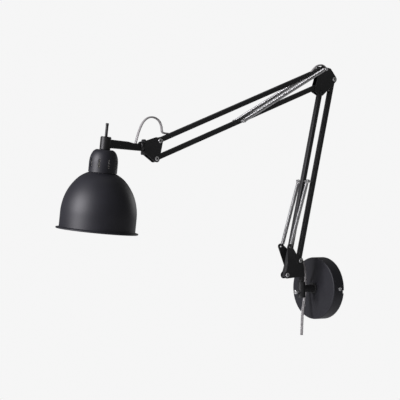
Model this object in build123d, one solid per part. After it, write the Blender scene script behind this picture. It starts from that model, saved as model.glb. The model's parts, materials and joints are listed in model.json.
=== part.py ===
"""Articulating wall lamp with two parallel-link arms, balance springs and a spun shade.

Frame: the wall is the plane y = 0, the centre of the canopy's back is the origin,
the lamp stands out along -Y and +Z is up. Arm shapes are drawn in side view, where
u is the distance out from the wall (u = -y) and z is the height.
"""
from build123d import *
import os
from math import cos, pi, radians, sin, sqrt, tan

# ---- canopy and wall plate (mm)
canopy_radius = 55.0
canopy_depth = 23.0
canopy_wall = 1.5
canopy_edge = 2.0
notch_width = 5.4
notch_depth = 4.0
notch_height = -5.4
plate_thickness = 1.5
plate_height = 26.0
plate_lug_height = 14.0
plate_lug_depth = 15.0
wall_screw_spacing = 60.0
wall_screw_slot = 5.0
side_screw_depth = 10.0
side_screw_radius = 2.0
side_screw_head_radius = 3.2
side_screw_head = 2.0
side_screw_length = 9.0

# ---- swivel barrel and pin
swivel_reach = 51.0
barrel_radius = 7.0
barrel_top = 12.0
barrel_bottom = -16.0
stub_radius = 6.5
stub_flange_radius = 10.0
stub_flange = 2.0
stud_radius = 5.0
stud_length = 9.0
stub_nut_across = 17.0
stub_nut_height = 5.0
pin_radius = 3.5
pin_shoulder_radius = 4.75
pin_gap = 0.3
pin_end_gap = 1.0
clamp_screw_height = -5.4
clamp_screw_radius = 2.0
clamp_screw_standoff = 5.2
clamp_head_radius = 4.0
clamp_head = 4.0

# ---- arm tubes, bolts and bushes
tube_width = 8.0
tube_bore = 6.2
tube_corner = 1.0
tube_end = 4.5
lower_length = 334.0
lower_lean = 14.1
upper_length = 388.7
upper_drop = 20.44
bolt_radius = 2.0
bolt_head_radius = 4.0
bolt_head = 1.6
bolt_socket_radius = 1.45
bolt_socket_depth = 1.1
nut_across = 7.0
nut_height = 3.0
bush_radius = 2.8

# ---- sheet brackets
sheet = 1.2
side_gap = 0.2
rear_pivot = (58.5, 50.0)
link_step = (30.5, -25.0)
base_lobe = 6.2
base_web_start = 48.0
base_web_end = 74.0
base_floor = 21.2
ear_hole = (90.3, 75.5)
ear_radius = 5.5
ear_root = (67.0, 61.0)
ear_front = (87.5, 42.0)
ear_bend = 14.5
ear_hole_radius = 1.6
elbow_lobe = 6.0
elbow_bottom_step = (4.5, 11.4)
upper_link_step = (-6.9, 29.8)
elbow_top_lobe = 5.8
elbow_shoulder = (10.5, 14.6, 4.5)
elbow_corner = (13.4, 3.1, 3.0)
head_lobe = 6.2
head_front = 31.54
head_front_height = 15.5
head_front_drop = 1.25
head_front_inset = 3.0
head_web_height = 25.8
head_web_thickness = 1.6

# ---- springs and their pins
spring_radius = 3.5
spring_wire = 1.2
lower_curls = 16
upper_curls = 34
spring_pin_radius = 1.75
spring_pin_half = 14.6
spring_knob_radius = 2.9
spring_knob = 1.4
lower_spring_share = 0.51
upper_spring_share = 0.5
hook_straight = 3.5
hook_turn = 250.0
spring_bolt_knob_radius = 3.2
spring_bolt_knob = 2.2

# ---- head
head_axis_height = -11.09
head_slope = 3.3
head_roll = 5.0
collar_reach = 75.8
collar_radius = 8.9
collar_height = 20.2
collar_bore = 5.6
head_bar_width = 9.0
head_bar_depth = 14.4
head_bar_neck = 11.8
head_bar_slope = 20.0
head_bar_waist = 33.0
head_bar_edge = 1.5
head_boss_radius = 8.0
head_boss_length = 7.0
head_boss_rise = 1.0
roll_bolt_depth = 12.0
lead_socket_reach = 15.6
head_gap = 0.3
roll_bolt_radius = 2.5
roll_bolt_head_radius = 4.0
roll_bolt_head = 3.0
neck_clearance = 0.1
neck_nut_across = 15.0
neck_nut_height = 3.0
rod_radius = 2.35
rod_clearance = 0.08
rod_tip_radius = 2.6
rod_tip_length = 4.0
rod_rise = 23.0
cap_radius = 23.6
cap_height = 37.6
cap_wall = 1.2
cap_top_radius = 12.0
cap_shoulder = 22.0
cap_slot_count = 9
cap_slot_width = 3.2
cap_slot_height = 15.0
cap_slot_top = 17.0
cap_slot_phase = 27.7
dome_radius = 62.6
dome_height = 75.0
dome_skirt = 23.5
dome_drop = 93.6
dome_hole = 20.4
dome_wall = 1.0
rim_flare = 5.2
rim_height = 3.4
holder_radius = 18.0
holder_length = 50.0
holder_bore = 13.5
holder_bore_depth = 32.0
holder_ring_radius = 21.7
holder_ring_height = 2.2
holder_ring_gap = 0.7

# ---- lead
lead_diameter = 4.0
lead_hole_radius = 2.6
lead_exit = 8.5
lead_slot = 16.0
elbow_exit = 18.4
elbow_lead_start = 22.5
head_lead_start = 24.0
lead_entry = 3.0
lead_bend = 8.0

neck_bore = rod_radius + rod_clearance
rim_radius = dome_radius + rim_flare
rear_low = Vector(*rear_pivot)
front_low = rear_low + Vector(*link_step)
lean = radians(lower_lean)
drop = radians(upper_drop)
lower_run = Vector(-sin(lean), cos(lean)) * lower_length
upper_run = Vector(cos(drop), -sin(drop)) * upper_length
rear_high = rear_low + lower_run
front_high = front_low + lower_run
bottom_in = front_high + Vector(*elbow_bottom_step)
top_in = bottom_in + Vector(*upper_link_step)
bottom_out = bottom_in + upper_run
top_out = top_in + upper_run
head_axis = top_out + Vector(head_front, head_axis_height)
lower_angle = 90 + lower_lean
upper_angle = -upper_drop
plate_inside = tube_width / 2 + side_gap
plate_outside = plate_inside + sheet
lower_pin_at = front_low + lower_run * lower_spring_share
upper_pin_at = bottom_in + upper_run * upper_spring_share
barrel_mid = (barrel_top + barrel_bottom) / 2
ear_flat = Vector(*ear_hole)
ear_fold = (Vector(*ear_front) - Vector(*ear_root)).normalized()
ear_out = Vector(-ear_fold.Y, ear_fold.X)
ear_height = (ear_flat - Vector(*ear_root)).dot(ear_out)
ear_point = ear_flat - ear_out * (ear_height * (1 - cos(radians(ear_bend))))
spring_side = plate_inside + ear_height * sin(radians(ear_bend)) + sheet / 2


def side_plane(x=0.0):
    """The side view plane at a given x: local x is u, local y is z."""
    return Plane(origin=(x, 0, 0), x_dir=(0, -1, 0), z_dir=(-1, 0, 0))


def at(point, x=0.0):
    """A side view point as a place in the lamp's frame."""
    return Vector(x, -point.X, point.Y)


def slab(outline, x_low, x_high):
    """A side view outline given thickness between two x values."""
    return extrude(side_plane(x_high) * outline, amount=x_high - x_low)


def dot(point, radius):
    """A filled circle in side view."""
    return Pos(point.X, point.Y) * Circle(radius)


def lobes(*circles):
    """The tight outline around several side view circles (point, radius)."""
    edges = Curve() + [edge for point, radius in circles for edge in dot(point, radius).edges()]
    return make_hull(edges.edges())


def cross_rod(point, radius, x_low, x_high):
    """A round rod along X through a side view point."""
    start = Plane(origin=at(point, x_low), z_dir=(1, 0, 0))
    return start * Cylinder(radius, x_high - x_low, align=(Align.CENTER, Align.CENTER, Align.MIN))


def rod(start, direction, radius, length):
    """A round rod from a place along a direction."""
    plane = Plane(origin=start, z_dir=direction)
    return plane * Cylinder(radius, length, align=(Align.CENTER, Align.CENTER, Align.MIN))


def ring(outer, inner, low, high):
    """A solid or hollow cylinder about the local z axis."""
    body = Cylinder(outer, high - low, align=(Align.CENTER, Align.CENTER, Align.MIN))
    if inner:
        body -= Cylinder(inner, high - low, align=(Align.CENTER, Align.CENTER, Align.MIN))
    return Pos(0, 0, low) * body


def hex_nut(start, direction, across, height, bore):
    """A hexagon nut with its near face at a place."""
    plane = Plane(origin=start, z_dir=direction)
    outline = RegularPolygon(across / 2, 6, major_radius=False) - Circle(bore)
    return plane * extrude(outline, amount=height)


def group(shapes):
    """Several separate solids as one node."""
    return Compound(children=[shape.solid() for shape in shapes])


# ---------------------------------------------------------------- canopy and swivel

def canopy():
    """Pressed cup that covers the wall plate, open to the wall, with a notch in its rim."""
    front = Plane(origin=(0, 0, 0), z_dir=(0, -1, 0))
    cup = Cylinder(canopy_radius, canopy_depth, align=(Align.CENTER, Align.CENTER, Align.MIN))
    cup = fillet(cup.edges().group_by(Axis.Z)[-1], canopy_edge)
    inner_depth = canopy_depth - canopy_wall
    cup -= Cylinder(canopy_radius - canopy_wall, inner_depth, align=(Align.CENTER, Align.CENTER, Align.MIN))
    cup = front * cup
    cup -= rod((0, 0, 0), (0, -1, 0), stud_radius + 0.1, canopy_depth + 1)
    for side in (-1, 1):
        cup -= rod((0, -side_screw_depth, 0), (side, 0, 0), side_screw_radius + 0.1, canopy_radius + 1)
    cup -= Pos(canopy_radius, 0, notch_height) * Box(4 * canopy_wall, 2 * notch_depth, notch_width)
    return cup


def lug_face():
    """The outer x of the wall plate's lugs, just inside the canopy wall."""
    inner = canopy_radius - canopy_wall
    return sqrt(inner ** 2 - (plate_lug_height / 2) ** 2) - 0.3


def wall_plate():
    """Steel strap screwed to the wall, with a bent lug at each end for the canopy's screws."""
    outer = lug_face()
    strap = Box(2 * outer, plate_thickness, plate_height, align=(Align.CENTER, Align.MAX, Align.CENTER))
    strap &= rod((0, 0, 0), (0, -1, 0), canopy_radius - canopy_wall - 0.3, plate_lug_depth)
    for side in (-1, 1):
        lug = Box(plate_thickness, plate_lug_depth, plate_lug_height,
                  align=(Align.CENTER, Align.MAX, Align.CENTER))
        strap += Pos(side * (outer - plate_thickness / 2), 0, 0) * lug
        strap -= rod((0, -side_screw_depth, 0), (side, 0, 0), side_screw_radius, outer + 1)
        slot = SlotCenterToCenter(2 * wall_screw_slot, wall_screw_slot)
        start = Plane(origin=(side * wall_screw_spacing / 2, 0, 0), x_dir=(1, 0, 0), z_dir=(0, -1, 0))
        strap -= extrude(start * slot, amount=2 * plate_thickness)
    return strap


def side_screws():
    """Two slotted screws that hold the canopy to the plate's lugs."""
    screws = []
    for side in (-1, 1):
        head = rod((side * canopy_radius, -side_screw_depth, 0), (side, 0, 0),
                   side_screw_head_radius, side_screw_head)
        head = fillet(head.edges().filter_by(GeomType.CIRCLE).sort_by(Axis.X)[-1 if side > 0 else 0], 0.8)
        tip = side * (canopy_radius - side_screw_length)
        shank = rod((tip, -side_screw_depth, 0), (side, 0, 0), side_screw_radius, side_screw_length)
        slot = Pos(side * (canopy_radius + side_screw_head), -side_screw_depth, 0) * Box(1.6, 8, 0.9)
        screws.append(head + shank - slot)
    return group(screws)


def swivel_barrel():
    """Cast stub standing out from the canopy, with the upright barrel that the pin turns in."""
    face = (0, -canopy_depth, 0)
    body = rod(face, (0, -1, 0), stub_flange_radius, stub_flange)
    body += rod(face, (0, -1, 0), stub_radius, swivel_reach - canopy_depth)
    body += rod(face, (0, 1, 0), stud_radius, stud_length)
    barrel = rod((0, -swivel_reach, barrel_bottom), (0, 0, 1), barrel_radius, barrel_top - barrel_bottom)
    body += fillet(barrel.edges().filter_by(GeomType.CIRCLE), 0.8)
    floor = barrel_bottom + 2 * pin_end_gap
    body -= rod((0, -swivel_reach, floor), (0, 0, 1), pin_radius + 0.1, barrel_top - floor + 1)
    body -= rod((0, -swivel_reach, clamp_screw_height), (0, -1, 0),
                clamp_screw_radius + 0.05, barrel_radius + 1)
    return body


def stub_nut():
    """Hexagon nut inside the canopy that holds the stub."""
    start = (0, -(canopy_depth - canopy_wall), 0)
    return hex_nut(start, (0, 1, 0), stub_nut_across, stub_nut_height, stud_radius)


def clamp_screw():
    """Slotted screw in the barrel that sets how stiffly the pin turns."""
    start = -(swivel_reach + pin_radius + pin_gap)
    head_face = -(swivel_reach + barrel_radius + clamp_screw_standoff)
    screw = rod((0, start, clamp_screw_height), (0, -1, 0), clamp_screw_radius, start - head_face)
    head = rod((0, head_face, clamp_screw_height), (0, -1, 0), clamp_head_radius, clamp_head)
    head = fillet(head.edges().filter_by(GeomType.CIRCLE).sort_by(Axis.Y)[0], 1.2)
    slot = Pos(0, head_face - clamp_head, clamp_screw_height) * Box(10, 2.2, 1.1)
    return screw + head - slot


def swivel_pin():
    """Shouldered pin riveted under the base fork, turning in the barrel."""
    base = barrel_top + pin_gap
    floor = barrel_bottom + 3 * pin_end_gap
    pin = rod((0, -swivel_reach, base), (0, 0, 1), pin_shoulder_radius, base_floor - base)
    pin += rod((0, -swivel_reach, floor), (0, 0, 1), pin_radius, base - floor)
    pin += rod((0, -swivel_reach, base_floor), (0, 0, 1), pin_radius - 1, sheet)
    pin += rod((0, -swivel_reach, base_floor + sheet), (0, 0, 1), pin_radius, 1.0)
    return pin


# ---------------------------------------------------------------- sheet brackets

def ear(side):
    """One ear of the base fork, bent outward along its slanted fold."""
    root = Vector(*ear_root)
    front = Vector(*ear_front)
    outline = lobes((ear_flat, ear_radius), (root, 0.3), (front, 0.3)) - dot(ear_flat, ear_hole_radius)
    low, high = sorted((side * plate_inside, side * plate_outside))
    flat = slab(outline, low, high)
    fold = Axis(at(root, side * plate_inside), at(front) - at(root))
    turned = flat.rotate(fold, ear_bend)
    other = flat.rotate(fold, -ear_bend)
    outward = turned.center().X * side > other.center().X * side
    return turned if outward else other


def base_fork():
    """Sheet bracket on the swivel pin: two cheeks joined by a web underneath, with spring ears."""
    floor_corner = Vector(base_web_start + 2, base_floor + 2.6)
    cheek = lobes((rear_low, base_lobe), (front_low, base_lobe), (floor_corner, 2.0))
    fill = Polygon((front_low.X, front_low.Y), (front_low.X + 3, front_low.Y + 4), ear_front, ear_root,
                   (rear_low.X + 1, rear_low.Y + base_lobe), (rear_low.X, rear_low.Y), align=None)
    cheek = cheek + fill - dot(rear_low, bolt_radius) - dot(front_low, bolt_radius)
    fork = slab(cheek, plate_inside, plate_outside) + slab(cheek, -plate_outside, -plate_inside)
    web = Box(2 * plate_outside, base_web_end - base_web_start, sheet,
              align=(Align.CENTER, Align.MAX, Align.MIN))
    fork += Pos(0, -base_web_start, base_floor) * web
    for side in (-1, 1):
        fork += ear(side)
    fork -= rod((0, -swivel_reach, base_floor - 1), (0, 0, 1), pin_radius - 1, 5)
    return fork


def elbow_cheek(side):
    """One cheek of the elbow bracket."""
    shoulder = rear_high + Vector(elbow_shoulder[0], elbow_shoulder[1])
    corner = front_high + Vector(elbow_corner[0], elbow_corner[1])
    outline = lobes((rear_high, elbow_lobe), (front_high, elbow_lobe), (top_in, elbow_top_lobe),
                    (shoulder, elbow_shoulder[2]), (corner, elbow_corner[2]))
    for point in (rear_high, front_high, top_in, bottom_in):
        outline -= dot(point, bolt_radius)
    low, high = sorted((side * plate_inside, side * plate_outside))
    return slab(outline, low, high)


def head_bracket():
    """Sheet bracket at the end of the upper arm, with a web across its front."""
    half = head_front_height / 2
    top = head_axis + Vector(-head_front_inset, half - head_front_drop)
    bottom = head_axis + Vector(-head_front_inset, -half - head_front_drop)
    cheek = lobes((top_out, head_lobe), (bottom_out, head_lobe), (top, 2.5), (bottom, 2.5))
    cheek = cheek - dot(top_out, bolt_radius) - dot(bottom_out, bolt_radius)
    bracket = slab(cheek, plate_inside, plate_outside) + slab(cheek, -plate_outside, -plate_inside)
    web = Box(head_web_thickness, head_web_height, 2 * plate_outside,
              align=(Align.MAX, Align.CENTER, Align.CENTER))
    web = fillet(web.edges().filter_by(Axis.X), 2.5)
    web -= Rot(0, 90, 0) * Cylinder(roll_bolt_radius + 0.1, 4 * head_web_thickness)
    bracket += web_frame * web
    return bracket


# ---------------------------------------------------------------- bolts, nuts and spring pins

def pivot_bolt(point, tail=0.0):
    """Button-head bolt across a bracket, with a round socket in its head."""
    head = cross_rod(point, bolt_head_radius, plate_outside, plate_outside + bolt_head)
    head = fillet(head.edges().filter_by(GeomType.CIRCLE).sort_by(Axis.X)[-1], 0.9)
    top = plate_outside + bolt_head
    head -= cross_rod(point, bolt_socket_radius, top - bolt_socket_depth, top + 1)
    return head + cross_rod(point, bolt_radius, -plate_outside - nut_height - tail, plate_outside)


def pivot_nut(point):
    """Hexagon nut on the far end of a pivot bolt."""
    return hex_nut(at(point, -plate_outside), (-1, 0, 0), nut_across, nut_height, bolt_radius)


def pivot_rivet(point):
    """Countersunk rivet, flush with both cheeks."""
    return cross_rod(point, bolt_radius, -plate_outside - 0.3, plate_outside + 0.3)


def spring_pin(point):
    """Cross pin with a knob at each end that keeps the spring hooks on."""
    pin = cross_rod(point, spring_pin_radius, -spring_pin_half, spring_pin_half)
    for side in (-1, 1):
        low, high = sorted((side * spring_pin_half, side * (spring_pin_half + spring_knob)))
        knob = cross_rod(point, spring_knob_radius, low, high)
        pin += fillet(knob.edges().filter_by(GeomType.CIRCLE), 0.5)
    return pin


# ---------------------------------------------------------------- arm tubes

def spring_bolt():
    """Long bolt of the upper tube's pivot, whose ends carry the springs."""
    bolt = cross_rod(top_in, bolt_radius, -spring_pin_half, spring_pin_half)
    for side in (-1, 1):
        low, high = sorted((side * spring_pin_half, side * (spring_pin_half + spring_bolt_knob)))
        knob = cross_rod(top_in, spring_bolt_knob_radius, low, high)
        bolt += fillet(knob.edges().filter_by(GeomType.CIRCLE), 0.7)
    return bolt


def arm_tube(start, angle, length, pin_at=None, holes=()):
    """Square tube between two pivots, with bush holes and, for the lead, side openings."""
    plane = Plane(origin=at(start), x_dir=(0, -cos(radians(angle)), sin(radians(angle))), z_dir=(-1, 0, 0))
    middle = Pos(length / 2, 0, 0)
    tube = Box(length + 2 * tube_end, tube_width, tube_width)
    tube = fillet(tube.edges().filter_by(Axis.X), tube_corner)
    tube = middle * (tube - Box(length + 2 * tube_end, tube_bore, tube_bore))
    for where in (0, length):
        tube -= Pos(where, 0, 0) * Cylinder(bush_radius, 2 * tube_width)
    if pin_at is not None:
        tube -= Pos(pin_at, 0, 0) * Cylinder(spring_pin_radius, 2 * tube_width)
    for where, side in holes:
        slot = Pos(where, side * tube_width / 2, 0) * Rot(90, 0, 0)
        tube -= slot * extrude(SlotOverall(lead_slot, 2 * lead_hole_radius), amount=2, both=True)
    return plane * tube


def bush(point):
    """Nylon bush in a tube's pivot hole."""
    sleeve = cross_rod(point, bush_radius, -tube_width / 2, tube_width / 2)
    return sleeve - cross_rod(point, bolt_radius + 0.05, -tube_width, tube_width)


# ---------------------------------------------------------------- springs

def arc_pair(p0, t0, p1, t1):
    """Two arcs that leave p0 along t0 and reach p1 along t1, tangent where they meet."""
    v = p1 - p0
    turn = 2 * (1 - t0.dot(t1))
    reach = v.dot(t0 + t1)
    d = (sqrt(reach * reach + turn * v.dot(v)) - reach) / turn
    a = p0 + t0 * d
    b = p1 - t1 * d
    joint = (a + b) * 0.5
    return [TangentArc(p0, joint, tangent=t0), TangentArc(joint, p1, tangent=b - a)]


def hook(centre, toward, side, radius):
    """Arc of a loop round a centre, from the spring's side line to just past the far side."""
    turns = [radians(a) for a in (0, hook_turn / 2, hook_turn)]
    return [centre + (side * cos(a) - toward * sin(a)) * radius for a in turns]


def least_gap(path):
    """The least space between points of a wound wire that lie over half a curl apart along it."""
    apart = pi * (spring_radius - spring_wire / 2)
    count = round(path.length / spring_wire)
    step = path.length / count
    points = [path @ (i / count) for i in range(count + 1)]
    skip = round(apart / step)
    pairs = ((points[i] - points[j]).length for i in range(count + 1) for j in range(i + skip, count + 1))
    return min(pairs) - spring_wire


def spring(start, end, curls, quarters, label):
    """One unbroken extension spring: a hook, a helix swept on quarter-curl arcs, a hook.

    The first hook goes round a pin along X; a last quarter curl turns the other hook to face X.
    """
    w = (end - start).normalized()
    n = w.cross(Vector(1, 0, 0))
    m = w.cross(n)
    length = (end - start).length
    radius = spring_radius - spring_wire / 2
    steps = 4 * curls + quarters
    pitch = (length - 2 * hook_straight) / (steps / 4)

    def place(quarter):
        a = quarter * pi / 2
        return start + w * (hook_straight + quarter * pitch / 4) + (n * cos(a) + m * sin(a)) * radius

    def heading(quarter):
        if quarter in (0, steps):
            return w
        a = quarter * pi / 2
        return (w * (pitch / 4) + (m * cos(a) - n * sin(a)) * (radius * pi / 2)).normalized()

    last_side = n * cos(steps * pi / 2) + m * sin(steps * pi / 2)
    edges = [ThreePointArc(*hook(start, w, n, radius)[::-1]), Line(start + n * radius, place(0))]
    for quarter in range(steps):
        edges += arc_pair(place(quarter), heading(quarter), place(quarter + 1), heading(quarter + 1))
    edges += [Line(place(steps), end + last_side * radius),
              ThreePointArc(*hook(end, w * -1, last_side, radius))]
    path = Wire(edges)
    section = Plane(origin=path @ 0, z_dir=path % 0) * Circle(spring_wire / 2)
    coil = sweep(section, path=path)
    coil.label = label
    full = path.length * pi * spring_wire ** 2 / 4
    print(f"{label}: {curls} curls, least gap to itself {least_gap(path):.2f} mm, "
          f"wire {path.length:.0f} mm, volume over section times length {coil.volume / full:.3f}")
    return coil


# ---------------------------------------------------------------- lead

def lead_route(points, label):
    """A lead along straight runs joined by tangent arcs, each as large as its runs allow."""
    points = [Vector(x, -u, z) for x, u, z in points]
    radii = []
    for a, b, c in zip(points, points[1:], points[2:]):
        turn = radians((b - a).get_angle(c - b))
        radii.append(0.45 * min((b - a).length, (c - b).length) / tan(turn / 2))
    path = FilletPolyline(*points, radius=radii)
    section = Plane(origin=path @ 0, z_dir=path % 0) * Circle(lead_diameter / 2)
    tube = sweep(section, path=path)
    tube.label = label
    expected = path.length * pi * lead_diameter ** 2 / 4
    print(f"{label}: length {path.length:.1f} mm, volume ratio {tube.volume / expected:.3f}, "
          f"radii {[round(r, 1) for r in radii]}")
    return tube


def inner_lead(start, angle, begin, finish):
    """The straight stretch of lead that lies along the bore of an arm tube."""
    heading = Vector(0, -cos(radians(angle)), sin(radians(angle)))
    rest = (tube_bore - lead_diameter) / 2 - 0.05
    return rod(at(start) + Vector(rest, 0, 0) + heading * begin, heading, lead_diameter / 2, finish - begin)


def steps_from(origin, steps):
    """Route points (x, u, z) given as steps from a side view point."""
    return [(x, origin.X + u, origin.Y + z) for x, u, z in steps]


power_points = steps_from(rear_low, [(0, -5.3, 4.5), (0, -10.5, -2.0), (-2.5, -16.0, -14.0),
                                     (-6.5, -22.0, -28.0), (-10.5, -26.7, -43.0), (-11.5, -26.7, -60.0),
                                     (-9.5, -21.0, -78.0), (-6.8, -15.5, -96.5), (-4.4, -12.2, -115.0),
                                     (-3.2, -10.5, -132.5)])
elbow_points = steps_from(top_in, [(0, 22.7, -5.4), (0, 16.0, 1.0), (0, 9.0, 6.4), (0, 0.0, 8.7)])
elbow_points += steps_from(rear_high, [(0, 19.6, 23.2), (0, 13.9, 16.6), (0, 10.9, 5.6), (0, 9.6, -7.3),
                                       (0, 6.7, -23.0)])
head_points = steps_from(top_out, [(0, -25.5, 12.2), (0, -17.0, 12.8), (0, -9.0, 16.2), (0, -7.0, 25.6),
                                   (0, -1.5, 34.2), (0, 10.0, 38.8), (0, 22.3, 37.0), (0, 32.2, 29.2)])
head_points += steps_from(head_axis, [(0, 7.4, 28.4), (0.2, 12.0, 17.0), (0.3, 16.0, 3.9)])


# ---------------------------------------------------------------- head

web_frame = Location(Plane(origin=at(head_axis),
                           x_dir=(0, -cos(radians(head_slope)), sin(radians(head_slope))), z_dir=(-1, 0, 0)))
head_frame = web_frame * Pos(head_gap, 0, 0) * Rot(-head_roll, 0, 0)
shade_frame = head_frame * Pos(collar_reach, 0, 0) * Rot(-90, 0, 0)


def in_head(shape):
    """Place a shape drawn with x along the head arm, y up and z toward the far side."""
    return head_frame * shape


def in_shade(shape):
    """Place a shape drawn with z up along the shade's axis, zero at the collar's middle."""
    return shade_frame * shape


def head_arm():
    """Moulded arm between the bracket's web and the collar round the shade's neck."""
    half = head_bar_depth / 2
    neck = head_bar_neck / 2
    outline = Polygon((0, -neck - 1), (collar_reach, -half), (collar_reach, half),
                      (head_bar_waist, half - 0.6), (head_bar_slope, neck - 1.2), (0, neck - 0.6),
                      align=None)
    bar = extrude(outline, amount=head_bar_width / 2, both=True)
    long_edges = bar.edges().filter_by(lambda e: abs((e % 0).Z) < 0.5 and e.length > head_bar_neck)
    bar = fillet(long_edges, head_bar_edge)
    boss = Rot(0, 90, 0) * ring(head_boss_radius, 0, 0, head_boss_length)
    boss = Pos(0, head_boss_rise, 0) * fillet(boss.edges().filter_by(GeomType.CIRCLE), 2.0)
    arm = bar + boss
    collar = Rot(90, 0, 0) * ring(collar_radius, 0, -collar_height / 2, collar_height / 2)
    collar = fillet(collar.edges().filter_by(GeomType.CIRCLE), 0.8)
    arm += Pos(collar_reach, 0, 0) * collar
    arm -= Pos(collar_reach, 0, 0) * Rot(90, 0, 0) * ring(collar_bore, 0, -collar_height, collar_height)
    arm -= Rot(0, 90, 0) * ring(roll_bolt_radius, 0, -1, roll_bolt_depth + 2)
    arm -= lead_socket()
    return in_head(arm)


def lead_socket():
    """Hole in the sloping top of the head arm where the lead goes in."""
    return Pos(lead_socket_reach, head_boss_rise, 0) * Rot(-90, 0, 0) * ring(lead_hole_radius, 0, 0, 12)


def roll_bolt():
    """Bolt through the bracket's web that the head arm turns on."""
    head_face = -head_gap - head_web_thickness - 0.1
    bolt = ring(roll_bolt_radius, 0, head_face, roll_bolt_depth)
    bolt += ring(roll_bolt_head_radius, 0, head_face - roll_bolt_head, head_face)
    return in_head(Rot(0, 90, 0) * bolt)


def neck_tube():
    """Threaded nipple that hangs the shade in the collar."""
    top = collar_height / 2 + neck_clearance
    low = -collar_height / 2 - cap_wall - neck_nut_height - 2.5
    tube = ring(collar_bore - neck_clearance, neck_bore, low, top)
    return in_shade(tube + ring(collar_radius - 0.6, neck_bore, top, top + 1.0))


def neck_nut():
    """Hexagon nut under the cap that holds it on the nipple."""
    z = -collar_height / 2 - neck_clearance - cap_wall
    outline = RegularPolygon(neck_nut_across / 2, 6, major_radius=False)
    outline -= Circle(collar_bore - neck_clearance)
    return in_shade(Pos(0, 0, z) * extrude(outline, amount=-neck_nut_height))


def cap_outline(grow):
    """Half profile of the cap: flat crown, rounded shoulder and straight side, grown inward."""
    top = -collar_height / 2 - neck_clearance
    low = top - cap_height
    r = cap_radius - grow
    crown = top - grow
    return [(0, crown), (cap_top_radius, crown), (r, top - cap_shoulder), (r, low)]


def quarter_oval(x, z, half_width, half_height):
    """A quarter of an oval from its right end to its top, as one smooth curve."""
    turns = [radians(15 * i) for i in range(7)]
    points = [(x + half_width * cos(a), z + half_height * sin(a)) for a in turns]
    return Spline(*points, tangents=[(0, 1), (-1, 0)])


def turned(points):
    """Solid of revolution under a crown line, a quarter ellipse shoulder and a straight side."""
    (x0, z0), (x1, z1), (x2, z2), (x3, z3) = points
    shoulder = quarter_oval(x1, z2, x2 - x1, z1 - z2)
    lines = Curve() + [Line((x0, z0), (x1, z1)), shoulder, Line((x2, z2), (x3, z3)),
                       Line((x3, z3), (x0, z3)), Line((x0, z3), (x0, z0))]
    return revolve(Plane.XZ * make_face(lines), Axis.Z)


def cap():
    """Vented cap over the lampholder."""
    shell = turned(cap_outline(0)) - turned(cap_outline(cap_wall))
    top = -collar_height / 2 - neck_clearance
    shell -= ring(collar_bore, 0, top - 5, top + 5)
    slot = Rot(90, 0, 0) * extrude(Rot(0, 0, 90) * SlotOverall(cap_slot_height, cap_slot_width), amount=-40)
    middle = top - cap_slot_top - cap_slot_height / 2 + cap_slot_width / 2
    for i in range(cap_slot_count):
        shell -= Rot(0, 0, cap_slot_phase + i * 360 / cap_slot_count) * Pos(0, 0, middle) * slot
    return in_shade(shell)


def dome_top():
    """Height of the dome's crown, just under the cap's lower edge."""
    return -collar_height / 2 - neck_clearance - cap_height


def bowl_centre():
    """Height where the dome's oval meets its straight skirt."""
    return dome_top() - dome_drop + dome_skirt


def bowl_face(grow):
    """Half section of the bowl: a quarter ellipse over a straight skirt, grown inward by a wall."""
    low = dome_top() - dome_drop
    centre = bowl_centre()
    r = dome_radius - grow
    crown = centre + dome_height - grow
    arc = quarter_oval(0, centre, r, crown - centre)
    lines = Curve() + [arc, Line((0, crown), (0, low)), Line((0, low), (r, low)),
                       Line((r, low), (r, centre))]
    return make_face(lines)


def dome():
    """Spun shade: bowl, skirt and a rolled rim that flares out."""
    low = dome_top() - dome_drop
    rim_mid = low - rim_height / 2 + 0.4
    half = bowl_face(0) - bowl_face(dome_wall)
    half -= Pos(0, dome_top()) * Rectangle(2 * dome_hole, 20)
    half += Polygon((dome_radius - dome_wall, low - 0.6), (rim_radius - 1.0, rim_mid - 0.6),
                    (rim_radius - 1.0, rim_mid + 0.6), (dome_radius, low + 1.2),
                    (dome_radius - dome_wall, low + 1.2), align=None)
    half += Pos(rim_radius - 1.3, rim_mid) * Circle(1.3)
    return in_shade(revolve(Plane.XZ * half, Axis.Z))


def lampholder():
    """Moulded lampholder inside the cap, open below for the bulb."""
    top = -collar_height / 2 - cap_wall - neck_nut_height - 2.5
    body = ring(holder_radius, 0, top - holder_length, top)
    body = chamfer(body.edges().filter_by(GeomType.CIRCLE).sort_by(Axis.Z)[-1], 5)
    body -= ring(holder_bore, 0, top - holder_length - 1, top - holder_length + holder_bore_depth)
    body -= ring(neck_bore, 0, top - 12, top + 1)
    return in_shade(body)


def holder_ring():
    """Ring under the dome that clamps it against the cap's edge."""
    rise = sqrt(1 - (holder_ring_radius / (dome_radius - dome_wall)) ** 2)
    top = bowl_centre() + (dome_height - dome_wall) * rise - holder_ring_gap
    return in_shade(ring(holder_ring_radius, holder_radius + 0.1, top - holder_ring_height, top))


def switch_rod():
    """Stem that turns the switch, standing up through the nipple."""
    top = collar_height / 2 + rod_rise
    low = -collar_height / 2 - cap_wall - neck_nut_height - 10.0
    stem = ring(rod_radius, 0, low, top - rod_tip_length)
    tip = ring(rod_tip_radius, 0, top - rod_tip_length, top)
    tip = fillet(tip.edges().filter_by(GeomType.CIRCLE), 0.8)
    return in_shade(stem + tip)


# ---------------------------------------------------------------- assembly

def write(node, shape):
    """Write one node's solids to its file."""
    solids = shape.solids()
    shape = solids[0] if len(solids) == 1 else Compound(children=list(solids))
    shape.label = node
    export_step(shape, f"parts/{node}.step")


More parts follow.
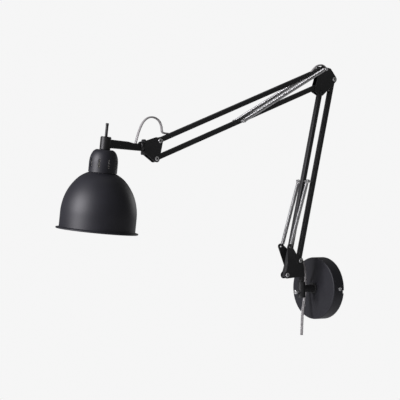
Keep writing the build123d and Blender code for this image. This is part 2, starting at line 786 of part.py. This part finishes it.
def build_nodes():
    """Every node of the lamp, by name."""
    nodes = {
        "canopy": canopy(),
        "wall_plate": wall_plate(),
        "canopy_screws": side_screws(),
        "swivel_barrel": swivel_barrel(),
        "stub_nut": stub_nut(),
        "clamp_screw": clamp_screw(),
        "swivel_pin": swivel_pin(),
        "base_fork": base_fork(),
        "base_fork_bolts": group([pivot_bolt(rear_low), pivot_bolt(front_low)]),
        "base_fork_nuts": group([pivot_nut(rear_low), pivot_nut(front_low)]),
        "lower_front_tube": arm_tube(front_low, lower_angle, lower_length,
                                     lower_length * lower_spring_share),
        "lower_rear_tube": arm_tube(rear_low, lower_angle, lower_length,
                                    holes=((lead_exit, 1), (lower_length - elbow_exit, -1))),
        "lower_front_bushes": group([bush(front_low), bush(front_high)]),
        "lower_rear_bushes": group([bush(rear_low), bush(rear_high)]),
        "lower_spring_pin": spring_pin(lower_pin_at),
        "lower_lead": inner_lead(rear_low, lower_angle, lead_exit + lead_entry,
                                 lower_length - elbow_exit - lead_bend),
        "elbow_near_plate": elbow_cheek(1),
        "elbow_far_plate": elbow_cheek(-1),
        "elbow_rear_bolt": pivot_bolt(rear_high),
        "elbow_front_bolt": pivot_bolt(front_high),
        "elbow_nuts": group([pivot_nut(rear_high), pivot_nut(front_high)]),
        "elbow_rivet": pivot_rivet(bottom_in),
        "elbow_spring_bolt": spring_bolt(),
        "upper_top_tube": arm_tube(top_in, upper_angle, upper_length,
                                   holes=((elbow_lead_start, 1), (upper_length - head_lead_start, 1))),
        "upper_bottom_tube": arm_tube(bottom_in, upper_angle, upper_length,
                                      upper_length * upper_spring_share),
        "upper_top_bushes": group([bush(top_in), bush(top_out)]),
        "upper_bottom_bushes": group([bush(bottom_in), bush(bottom_out)]),
        "upper_spring_pin": spring_pin(upper_pin_at),
        "upper_lead": inner_lead(top_in, upper_angle, elbow_lead_start + 2 * lead_entry,
                                 upper_length - head_lead_start - lead_bend),
        "head_bracket": head_bracket(),
        "head_bolts": group([pivot_bolt(top_out), pivot_bolt(bottom_out)]),
        "head_nuts": group([pivot_nut(top_out), pivot_nut(bottom_out)]),
        "roll_bolt": roll_bolt(),
        "head_arm": head_arm(),
        "neck_tube": neck_tube(),
        "neck_nut": neck_nut(),
        "shade_cap": cap(),
        "shade_dome": dome(),
        "lampholder": lampholder(),
        "holder_ring": holder_ring(),
        "switch_rod": switch_rod(),
        "power_cord": lead_route(power_points, "power_cord"),
        "elbow_lead": lead_route(elbow_points, "elbow_lead"),
        "head_lead": lead_route(head_points, "head_lead"),
    }
    toward = (at(lower_pin_at) - at(ear_point)).normalized()
    ear_centre = at(ear_point) + toward * (ear_hole_radius + ear_radius) / 2
    for name, side in (("near", 1), ("far", -1)):
        shift = Vector(side * spring_side, 0, 0)
        lower = spring(at(lower_pin_at) + shift, ear_centre + shift, lower_curls, 1, f"lower_spring_{name}")
        upper = spring(at(upper_pin_at) + shift, at(top_in) + shift, upper_curls, 0, f"upper_spring_{name}")
        nodes[f"lower_spring_{name}"] = lower
        nodes[f"upper_spring_{name}"] = upper
    return nodes


if __name__ == "__main__":
    os.makedirs("parts", exist_ok=True)
    for node, shape in build_nodes().items():
        write(node, shape)
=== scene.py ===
"""Looks of an articulating wall lamp: materials, wound springs, twin lead, lights and camera.

Everything is in metres in the part's own frame: the wall is y = 0, the lamp stands out
along -Y, +Z is up. Places in the side view are (u, z), where u is the distance from the wall.
"""
import json
from math import cos, pi, radians, sin

import bmesh
import bpy
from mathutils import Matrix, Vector

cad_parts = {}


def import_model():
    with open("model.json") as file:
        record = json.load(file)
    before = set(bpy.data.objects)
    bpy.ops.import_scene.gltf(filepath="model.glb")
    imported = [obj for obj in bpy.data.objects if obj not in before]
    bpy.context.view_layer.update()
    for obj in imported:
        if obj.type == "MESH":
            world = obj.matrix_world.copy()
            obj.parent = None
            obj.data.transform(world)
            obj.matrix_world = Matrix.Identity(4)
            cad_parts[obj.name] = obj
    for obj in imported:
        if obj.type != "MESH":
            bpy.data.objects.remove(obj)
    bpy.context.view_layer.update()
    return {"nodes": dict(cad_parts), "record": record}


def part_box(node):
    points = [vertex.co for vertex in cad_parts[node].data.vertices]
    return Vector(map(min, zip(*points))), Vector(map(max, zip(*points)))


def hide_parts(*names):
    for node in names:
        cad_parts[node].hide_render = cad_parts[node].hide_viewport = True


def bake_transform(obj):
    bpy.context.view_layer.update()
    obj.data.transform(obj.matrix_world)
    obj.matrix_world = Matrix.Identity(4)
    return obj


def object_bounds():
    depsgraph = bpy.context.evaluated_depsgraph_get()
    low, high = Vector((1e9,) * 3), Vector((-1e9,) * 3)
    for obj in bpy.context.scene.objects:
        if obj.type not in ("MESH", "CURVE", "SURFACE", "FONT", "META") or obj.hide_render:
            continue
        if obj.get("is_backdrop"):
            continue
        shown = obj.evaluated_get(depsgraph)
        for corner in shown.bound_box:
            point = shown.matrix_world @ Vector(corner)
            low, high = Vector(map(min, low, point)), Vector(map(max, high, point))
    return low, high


MM = 0.001

# ---- camera, fitted to the photograph
CAMERA_AT = (2.39967, -2.18762, 0.14175)
CAMERA_FORWARD = (-0.78288, 0.62215, 0.00473)
CAMERA_LENS = 162.97
CAMERA_SENSOR = 36.0
CAMERA_REACH = 60

# ---- floor, backdrop and lights
FLOOR_DROP = 0.28
FLOOR_RADIUS = 1.15
FLOOR_SIDES = 96
FLOOR_COLOUR = (0.9, 0.9, 0.9)
FLOOR_SHADE = 0.995
WORLD_SEEN = 0.92
WORLD_LIGHT = 0.15
LIGHT_TARGET = (0, -0.25, 0.15)
# name, place, side of the square, watts and tint of each soft box
LIGHTS = (
    ("key", (-0.26, -2.72, 0.93), 1.4, 96, (0.97, 0.95, 1.0)),
    ("top", (0.0, -0.3, 2.7), 1.4, 2, (1, 1, 1)),
    ("edge", (-0.65, 2.3, 0.55), 0.9, 8, (1, 1, 1)),
)

# ---- springs (mm)
SPRING_RADIUS = 3.45
SPRING_WIRE = 1.0
SPRING_PITCH = 1.12
SPRING_TURN_POINTS = 14
HOOK_STRAIGHT = 3.5
HOOK_TURN = 300.0
HOOK_STEPS = 9
WIRE_SIDES = 6
# how far a lower spring's end stands above its box's bottom
EAR_HOOK_RISE = 0.8

# ---- twin lead (mm)
LEAD_WIDTH = 5.0
LEAD_CORE = 1.4
CORE_HALF_ARC = 130
CORE_POINTS = 11
LINE_RESOLUTION = 8
# where each lead is cut into its two stretches, as a share of its points
POWER_SHARE = 0.36
LOOP_SHARE = 0.5

# the lead's routes: x, u, z in mm, as in the part's source
POWER_POINTS = [(0, 53.2, 54.5), (0, 48.0, 48.0), (-2.5, 42.5, 36.0), (-6.5, 36.5, 22.0), (-10.5, 31.8, 7.0),
                (-11.5, 31.8, -10.0), (-9.5, 37.5, -28.0), (-6.8, 43.0, -46.5), (-4.4, 46.3, -65.0),
                (-3.2, 48.0, -82.5)]
ELBOW_POINTS = [(0, 27.9, 384.7), (0, 21.2, 391.1), (0, 14.2, 396.5), (0, 5.2, 398.8), (0, -3.3, 397.1),
                (0, -9.0, 390.5), (0, -12.0, 379.5), (0, -13.3, 366.6), (0, -16.2, 350.9)]
HEAD_POINTS = [(0, 344.0, 266.6), (0, 353.0, 267.0), (0, 360.8, 267.9), (0, 362.2, 272.0), (0, 362.9, 280.0),
               (0, 368.0, 288.8), (0, 379.5, 294.0), (0, 391.8, 292.2), (0, 401.7, 284.0), (0, 408.4, 271.7),
               (0.2, 413.0, 260.3), (0.3, 417.0, 247.2)]

# the arms' pivots that have bright bolts: u, z in mm
PIVOT_POINTS = [(58.5, 50.0), (89.0, 25.0), (-22.87, 373.94), (369.46, 254.39), (376.36, 224.59)]
PIVOTS = [Vector((0, -u, z)) * MM for u, z in PIVOT_POINTS]

# the sockets of the bolt heads, where a dark finish is painted as shade (mm)
SOCKET_DEPTH = 1.3
SOCKET_LIP = 0.05
SOCKET_RADIUS = 1.46

# the shade's inner paint: how far from the shade's axis it reaches (mm), and how squarely a face
# has to look toward the axis or down to take it
ENAMEL_REACH = {"shade_dome": 58, "shade_cap": 21}
LOOKS_INWARD = -0.2
LOOKS_DOWN = -0.6

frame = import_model()


# ---------------------------------------------------------------- places

def place(x, u, z):
    """A point given in mm by x, distance from the wall and height."""
    return Vector((x, -u, z)) * MM


def middle(node):
    """Middle of a CAD node's box."""
    low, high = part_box(node)
    return (low + high) / 2


# ---------------------------------------------------------------- materials

class Finish:
    """A material under construction: its shader and a few shared steps."""

    def __init__(self, name):
        self.material = bpy.data.materials.new(name)
        self.material.use_nodes = True
        self.tree = self.material.node_tree
        self.shader = self.tree.nodes["Principled BSDF"]
        self.coordinates = self.tree.nodes.new("ShaderNodeTexCoord").outputs["Object"]

    def set(self, **values):
        for socket, value in values.items():
            self.shader.inputs[socket.replace("_", " ")].default_value = value
        return self

    def noise(self, scale, detail=3.0):
        node = self.tree.nodes.new("ShaderNodeTexNoise")
        node.inputs["Scale"].default_value = scale
        node.inputs["Detail"].default_value = detail
        self.tree.links.new(self.coordinates, node.inputs["Vector"])
        return node.outputs["Fac"]

    def ramp(self, value, low, high, socket, start=0.35, end=0.65):
        node = self.tree.nodes.new("ShaderNodeValToRGB")
        node.color_ramp.elements[0].position = start
        node.color_ramp.elements[1].position = end
        node.color_ramp.elements[0].color = low
        node.color_ramp.elements[1].color = high
        self.tree.links.new(value, node.inputs["Fac"])
        self.tree.links.new(node.outputs["Color"], self.shader.inputs[socket])

    def vary(self, value, low, high, socket):
        node = self.tree.nodes.new("ShaderNodeMapRange")
        node.inputs["To Min"].default_value = low
        node.inputs["To Max"].default_value = high
        self.tree.links.new(value, node.inputs["Value"])
        self.tree.links.new(node.outputs["Result"], self.shader.inputs[socket])

    def bump(self, value, depth, strength=0.5):
        node = self.tree.nodes.new("ShaderNodeBump")
        node.inputs["Distance"].default_value = depth
        node.inputs["Strength"].default_value = strength
        self.tree.links.new(value, node.inputs["Height"])
        self.tree.links.new(node.outputs["Normal"], self.shader.inputs["Normal"])


def grey(value, blue=1.0, alpha=1.0):
    return (value, value, value * blue, alpha)


def powder_paint(name, tone, roughness, blue=1.1):
    """Powder coat: fine orange peel, slight cloudiness in colour and gloss."""
    finish = Finish(name).set(Specular_IOR_Level=0.5)
    cloud = finish.noise(22.0)
    finish.ramp(cloud, grey(tone * 0.86, blue), grey(tone * 1.14, blue), "Base Color")
    finish.vary(cloud, roughness - 0.05, roughness + 0.05, "Roughness")
    finish.bump(finish.noise(1600.0, 2.0), 0.00005, 0.35)
    return finish.material


def moulded_plastic(name, tone, roughness):
    """Moulded plastic with a fine spark-eroded grain."""
    finish = Finish(name).set(Specular_IOR_Level=0.45)
    grain = finish.noise(2200.0, 4.0)
    finish.ramp(finish.noise(30.0), grey(tone * 0.9), grey(tone * 1.1), "Base Color")
    finish.vary(grain, roughness - 0.06, roughness + 0.06, "Roughness")
    finish.bump(grain, 0.00006, 0.4)
    return finish.material


def plated_steel(name, tone, roughness, scratch=900.0):
    """Bright plated steel with faint handling marks."""
    finish = Finish(name).set(Metallic=1.0)
    marks = finish.noise(scratch, 5.0)
    finish.ramp(marks, grey(tone * 0.8), grey(tone), "Base Color")
    finish.vary(finish.noise(160.0), roughness - 0.06, roughness + 0.08, "Roughness")
    finish.bump(marks, 0.00002, 0.2)
    return finish.material


def nylon():
    """Natural nylon, slightly translucent and warm."""
    finish = Finish("nylon").set(Specular_IOR_Level=0.4, Subsurface_Weight=0.2)
    finish.ramp(finish.noise(60.0), (0.72, 0.7, 0.64, 1), (0.82, 0.8, 0.75, 1), "Base Color")
    finish.vary(finish.noise(400.0), 0.42, 0.55, "Roughness")
    return finish.material


def clear_sheath():
    """Clear grey sheath over two stranded cores, seen as a soft two-tone lead."""
    finish = Finish("lead_sheath")
    finish.set(Transmission_Weight=0.35, IOR=1.46, Coat_Weight=0.4, Coat_Roughness=0.12)
    strands = finish.noise(900.0, 2.0)
    finish.ramp(strands, (0.34, 0.33, 0.34, 1), (0.6, 0.58, 0.57, 1), "Base Color")
    finish.vary(finish.noise(120.0), 0.22, 0.34, "Roughness")
    finish.bump(strands, 0.00004, 0.3)
    return finish.material


def glazed_ceramic():
    """Pale glazed ceramic."""
    finish = Finish("holder_ceramic").set(Specular_IOR_Level=0.55)
    finish.ramp(finish.noise(25.0), (0.74, 0.73, 0.7, 1), (0.82, 0.81, 0.78, 1), "Base Color")
    finish.vary(finish.noise(90.0), 0.15, 0.28, "Roughness")
    return finish.material


def white_enamel():
    """White enamel inside the shade."""
    finish = Finish("white_enamel").set(Specular_IOR_Level=0.5)
    cloud = finish.noise(18.0)
    finish.ramp(cloud, grey(0.78, 0.98), grey(0.86, 0.99), "Base Color")
    finish.vary(cloud, 0.3, 0.4, "Roughness")
    finish.bump(finish.noise(1200.0, 2.0), 0.00004, 0.3)
    return finish.material


FINISHES = {
    "black_paint": powder_paint("black_paint", 0.02, 0.45, 1.05),
    "shade_paint": powder_paint("shade_paint", 0.012, 0.5, 1.4),
    "black_moulding": moulded_plastic("black_moulding", 0.009, 0.45),
    "holder_ceramic": glazed_ceramic(),
    "bright_steel": plated_steel("bright_steel", 0.9, 0.3),
    "spring_steel": plated_steel("spring_steel", 0.62, 0.34, 2500.0),
    "plain_steel": plated_steel("plain_steel", 0.6, 0.36),
    "nylon": nylon(),
    "lead_sheath": clear_sheath(),
}


# pieces that share another slot's look
LOOKS = {"canopy": "shade_paint"}


def dress(obj, finish):
    """Give an object one finish in place of what it has."""
    obj.data.materials.clear()
    obj.data.materials.append(finish)


def dress_cad_nodes():
    """Every carried-over CAD node takes the finish of its slot in the record."""
    for entry in frame["record"]["subparts"]:
        slot = LOOKS.get(entry["node"], entry["material_slot"])
        dress(frame["nodes"][entry["node"]], FINISHES[slot])
    enamel = white_enamel()
    for node, reach in ENAMEL_REACH.items():
        paint_inside(frame["nodes"][node], middle(node), reach * MM, enamel)
    # the bolt heads' sockets take a dark finish as painted shade
    for node in ("base_fork_bolts", "elbow_rear_bolt", "head_bolts"):
        paint_socket_shade(frame["nodes"][node])


def paint_socket_shade(bolts):
    """Painted shade: a dark finish on the faces deep in the sockets of the bolt heads, standing in for the
    shade that falls there.
    """
    bolts.data.materials.append(FINISHES["black_moulding"])
    outer = max(vertex.co.x for vertex in bolts.data.vertices)
    for face in bolts.data.polygons:
        inside = all(outer - SOCKET_DEPTH * MM < bolts.data.vertices[i].co.x <= outer for i in face.vertices)
        near = min((Vector((0, face.center.y, face.center.z)) - axis).length for axis in PIVOTS)
        if inside and near < SOCKET_RADIUS * MM and face.center.x < outer - SOCKET_LIP * MM:
            face.material_index = 1


def paint_inside(shell, centre, reach, enamel):
    """White enamel on the faces of a spun shell that look toward the shade's axis or down."""
    shell.data.materials.append(enamel)
    axis = (middle("neck_tube") - middle("shade_dome")).normalized()
    for face in shell.data.polygons:
        arm = face.center - centre
        arm -= axis * arm.dot(axis)
        inward = face.normal.dot(arm.normalized()) < LOOKS_INWARD
        below = face.normal.dot(axis) < LOOKS_DOWN and arm.length < reach
        if inward or below:
            face.material_index = 1


# ---------------------------------------------------------------- tubes along a line

def frames_along(points, first_side):
    """A side and a normal at each point, carried along the line without twist."""
    side = Vector(first_side)
    sides = []
    for i, point in enumerate(points):
        ahead = points[min(i + 1, len(points) - 1)] - points[max(i - 1, 0)]
        ahead.normalize()
        side = (side - ahead * side.dot(ahead)).normalized()
        sides.append((side.copy(), ahead.cross(side)))
    return sides


def tube(name, points, section, first_side, finish):
    """A mesh tube with the given section (pairs of side and normal offsets) along points."""
    mesh = bmesh.new()
    rings = []
    for point, (side, normal) in zip(points, frames_along(points, first_side)):
        rings.append([mesh.verts.new(point + side * a + normal * b) for a, b in section])
    count = len(section)
    for ring, following in zip(rings, rings[1:]):
        for i in range(count):
            j = (i + 1) % count
            mesh.faces.new((ring[i], ring[j], following[j], following[i]))
    mesh.faces.new(rings[0][::-1])
    mesh.faces.new(rings[-1])
    for face in mesh.faces:
        face.smooth = len(face.verts) == 4
    bmesh.ops.recalc_face_normals(mesh, faces=mesh.faces)
    data = bpy.data.meshes.new(name)
    mesh.to_mesh(data)
    mesh.free()
    obj = bpy.data.objects.new(name, data)
    bpy.context.scene.collection.objects.link(obj)
    dress(obj, finish)
    return obj


def round_section(radius, sides):
    return [(radius * cos(2 * pi * i / sides), radius * sin(2 * pi * i / sides)) for i in range(sides)]


# ---------------------------------------------------------------- springs

def spring_line(start, end, side):
    """Centre line of a close-wound extension spring with a loop at each end."""
    along = (end - start).normalized()
    n = along.cross(Vector(side)).normalized()
    m = along.cross(n)
    radius = (SPRING_RADIUS - SPRING_WIRE / 2) * MM
    straight = HOOK_STRAIGHT * MM
    body = (end - start).length - 2 * straight
    turns = round(body / (SPRING_PITCH * MM))
    steps = turns * SPRING_TURN_POINTS
    points = []
    for i in range(HOOK_STEPS):
        a = radians(HOOK_TURN) * (1 - i / HOOK_STEPS)
        points.append(start + (n * cos(a) - along * sin(a)) * radius)
    for i in range(steps + 1):
        a = 2 * pi * i / SPRING_TURN_POINTS
        points.append(start + along * (straight + body * i / steps) + (n * cos(a) + m * sin(a)) * radius)
    for i in range(1, HOOK_STEPS + 1):
        a = radians(HOOK_TURN) * i / HOOK_STEPS
        points.append(end + (n * cos(a) + along * sin(a)) * radius)
    return points


def spring(node, fixed, moving):
    """A wound spring in place of its CAD node."""
    points = spring_line(fixed, moving, (1, 0, 0))
    section = round_section(SPRING_WIRE / 2 * MM, WIRE_SIDES)
    piece = tube(f"{node}_wound", points, section, (1, 0, 0), FINISHES["spring_steel"])
    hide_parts(node)
    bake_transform(piece)


def springs():
    """The four balance springs, from the ears and the elbow bolt to the pins on the tubes."""
    for name in ("near", "far"):
        for node, pin, fixed_body, moving_body in (
                (f"lower_spring_{name}", "lower_spring_pin", "swivel_base", "lower_front"),
                (f"upper_spring_{name}", "upper_spring_pin", "elbow", "upper_bottom")):
            x = middle(node).x
            moving = middle(pin)
            moving.x = x
            if fixed_body == "elbow":
                fixed = middle("elbow_spring_bolt")
            else:
                low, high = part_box(node)
                fixed = Vector((x, low.y + SPRING_RADIUS * MM, low.z + EAR_HOOK_RISE * MM))
            fixed.x = x
            spring(node, fixed, moving)


# ---------------------------------------------------------------- twin lead

def smooth_line(name, route):
    """Points along the smooth NURBS line of a route."""
    data = bpy.data.curves.new(name, "CURVE")
    data.dimensions = "3D"
    data.resolution_u = LINE_RESOLUTION
    line = data.splines.new("NURBS")
    line.points.add(len(route) - 1)
    for point, (x, u, z) in zip(line.points, route):
        point.co = (*place(x, u, z), 1)
    line.order_u = 3
    line.use_endpoint_u = True
    obj = bpy.data.objects.new(name, data)
    bpy.context.scene.collection.objects.link(obj)
    bpy.context.view_layer.update()
    mesh = bpy.data.meshes.new_from_object(obj.evaluated_get(bpy.context.evaluated_depsgraph_get()))
    points = [v.co.copy() for v in mesh.vertices]
    bpy.data.objects.remove(obj)
    bpy.data.meshes.remove(mesh)
    return points


def twin_section():
    """Outline of a flat twin lead: two round cores side by side with a web between."""
    core = LEAD_CORE * MM
    offset = (LEAD_WIDTH / 2 - LEAD_CORE) * MM
    step = 2 * CORE_HALF_ARC / (CORE_POINTS - 1)
    angles = [radians(step * i - CORE_HALF_ARC) for i in range(CORE_POINTS)]
    right = [(offset + core * cos(a), core * sin(a)) for a in angles]
    left = [(-a, -b) for a, b in right]
    return right + left


def lead(node, route, share, first_bodies, second_bodies, flat_side=(1, 0, 0)):
    """A twin lead in two stretches that meet at a share of its points."""
    points = smooth_line(f"{node}_line", route)
    cut = round(len(points) * share)
    halves = ((points[:cut + 1], first_bodies), (points[cut:], second_bodies))
    for name, (stretch, bodies) in zip(("start", "end"), halves):
        piece = tube(f"{node}_{name}", stretch, twin_section(), flat_side, FINISHES["lead_sheath"])
        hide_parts(node)
        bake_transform(piece)


# ---------------------------------------------------------------- stage, lights and camera

def stage():
    """Plain pale floor under and far around the lamp."""
    low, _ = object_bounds()
    bpy.ops.mesh.primitive_circle_add(vertices=FLOOR_SIDES, radius=FLOOR_RADIUS, fill_type="NGON",
                                      location=(0, 0, low.z - FLOOR_DROP))
    floor = bpy.context.object
    floor.name = "floor"
    finish = Finish("floor_pale").set(Specular_IOR_Level=0.1, Roughness=0.9)
    shaded = [c * FLOOR_SHADE for c in FLOOR_COLOUR]
    finish.ramp(finish.noise(2.0), (*shaded, 1), (*FLOOR_COLOUR, 1), "Base Color")
    dress(floor, finish.material)
    floor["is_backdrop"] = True


def world():
    """Pale surround: bright where it is seen, dim as a light, as in a studio with a lit backdrop."""
    made = bpy.data.worlds.new("surround")
    made.use_nodes = True
    nodes, links = made.node_tree.nodes, made.node_tree.links
    lit = nodes["Background"]
    lit.inputs["Strength"].default_value = WORLD_LIGHT
    seen = nodes.new("ShaderNodeBackground")
    seen.inputs["Strength"].default_value = WORLD_SEEN
    mix = nodes.new("ShaderNodeMixShader")
    for background in (lit, seen):
        background.inputs["Color"].default_value = (1, 1, 1, 1)
    links.new(nodes.new("ShaderNodeLightPath").outputs["Is Camera Ray"], mix.inputs[0])
    links.new(lit.outputs[0], mix.inputs[1])
    links.new(seen.outputs[0], mix.inputs[2])
    links.new(mix.outputs[0], nodes["World Output"].inputs[0])
    bpy.context.scene.world = made
    bpy.context.scene.view_settings.view_transform = "Standard"


def soft_light(name, at, target, size, power, tint):
    """A large square soft box aimed at a point."""
    data = bpy.data.lights.new(name, "AREA")
    data.shape = "SQUARE"
    data.size = size
    data.energy = power
    data.color = tint
    light = bpy.data.objects.new(name, data)
    light.location = at
    light.rotation_euler = (Vector(target) - Vector(at)).to_track_quat("-Z", "Y").to_euler()
    bpy.context.scene.collection.objects.link(light)


def lights():
    for name, at, size, power, tint in LIGHTS:
        soft_light(name, at, LIGHT_TARGET, size, power, tint)


def camera():
    data = bpy.data.cameras.new("camera")
    data.lens = CAMERA_LENS
    data.sensor_width = CAMERA_SENSOR
    data.sensor_fit = "HORIZONTAL"
    data.clip_end = CAMERA_REACH
    obj = bpy.data.objects.new("camera", data)
    obj.location = CAMERA_AT
    obj.rotation_mode = "QUATERNION"
    obj.rotation_quaternion = Vector(CAMERA_FORWARD).to_track_quat("-Z", "Y")
    bpy.context.scene.collection.objects.link(obj)
    bpy.context.scene.camera = obj


# ---------------------------------------------------------------- the scene

dress_cad_nodes()
springs()
lead("power_cord", POWER_POINTS, POWER_SHARE,
     ("lower_rear", "swivel_base"), ("swivel_base", "wall_base"), flat_side=(0.7, 0.7, 0))
lead("elbow_lead", ELBOW_POINTS, LOOP_SHARE, ("upper_top", "elbow"), ("elbow", "lower_rear"))
lead("head_lead", HEAD_POINTS, LOOP_SHARE, ("upper_top", "head"), ("head", "head_swing"))
world()
lights()
camera()
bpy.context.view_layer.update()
stage()
